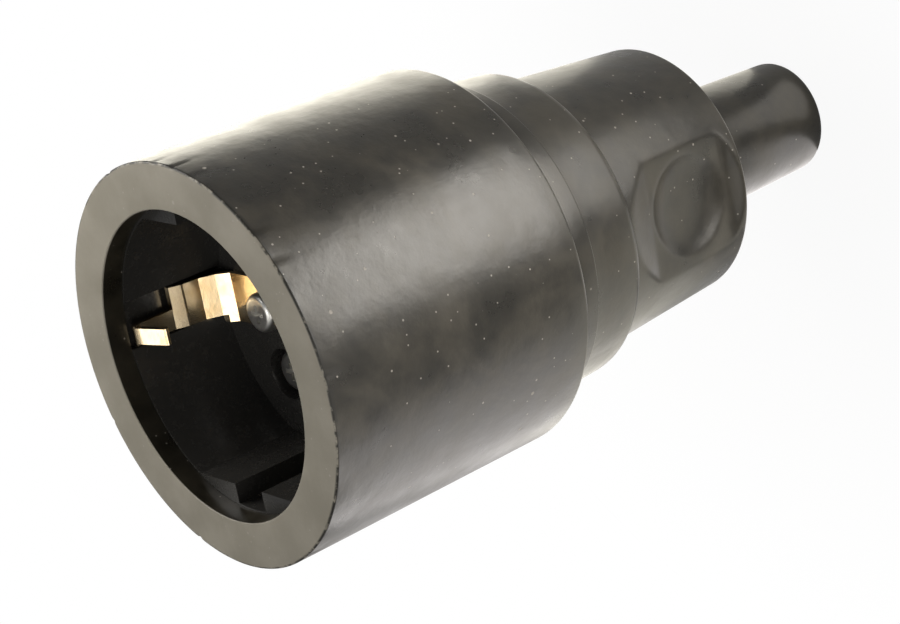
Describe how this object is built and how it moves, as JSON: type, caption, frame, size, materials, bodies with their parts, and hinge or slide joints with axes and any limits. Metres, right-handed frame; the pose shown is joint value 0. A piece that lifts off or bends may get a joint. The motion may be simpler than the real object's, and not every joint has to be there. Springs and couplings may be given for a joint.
{
  "type": "in-line power socket",
  "caption": "Solid rubber in-line power socket for an earthed two-pin plug, with a round well, side earth clips, thumb flats on the grip and a cable sleeve.",
  "frame": {"origin": "centre of the cable sleeve's end, on the axis of the socket", "axes": "+Z along the axis towards the mouth, X through the two pin holes, +Y towards the back earth clip"},
  "size_m": [0.0514, 0.0514, 0.1022],
  "materials": {
    "rubber": "solid moulded rubber, satin, with fine mould marks and a little dust",
    "insert": "glossy black moulding",
    "carrier": "plain black moulding",
    "contact_brass": "machined brass",
    "clip_brass": "bright spring brass strip",
    "screw_steel": "nickel-plated steel",
    "spring_steel": "spring steel"
  },
  "bodies": {
    "root": {"rubber_housing": "rubber", "socket_insert": "insert", "contact_carrier": "carrier", "line_contact": "contact_brass", "neutral_contact": "contact_brass", "line_contact_spring": "spring_steel", "neutral_contact_spring": "spring_steel", "terminal_screws": "screw_steel", "wire_clamp_leaves": "contact_brass", "earth_clip_back": "clip_brass", "earth_clip_front": "clip_brass", "earth_clip_screws": "screw_steel", "earth_bridge": "contact_brass", "earth_terminal": "contact_brass", "insert_screws": "screw_steel", "insert_nuts": "screw_steel", "cord_clamp_bar": "carrier", "cord_clamp_screws": "screw_steel", "cord_clamp_nuts": "screw_steel"}
  },
  "joints": []
}
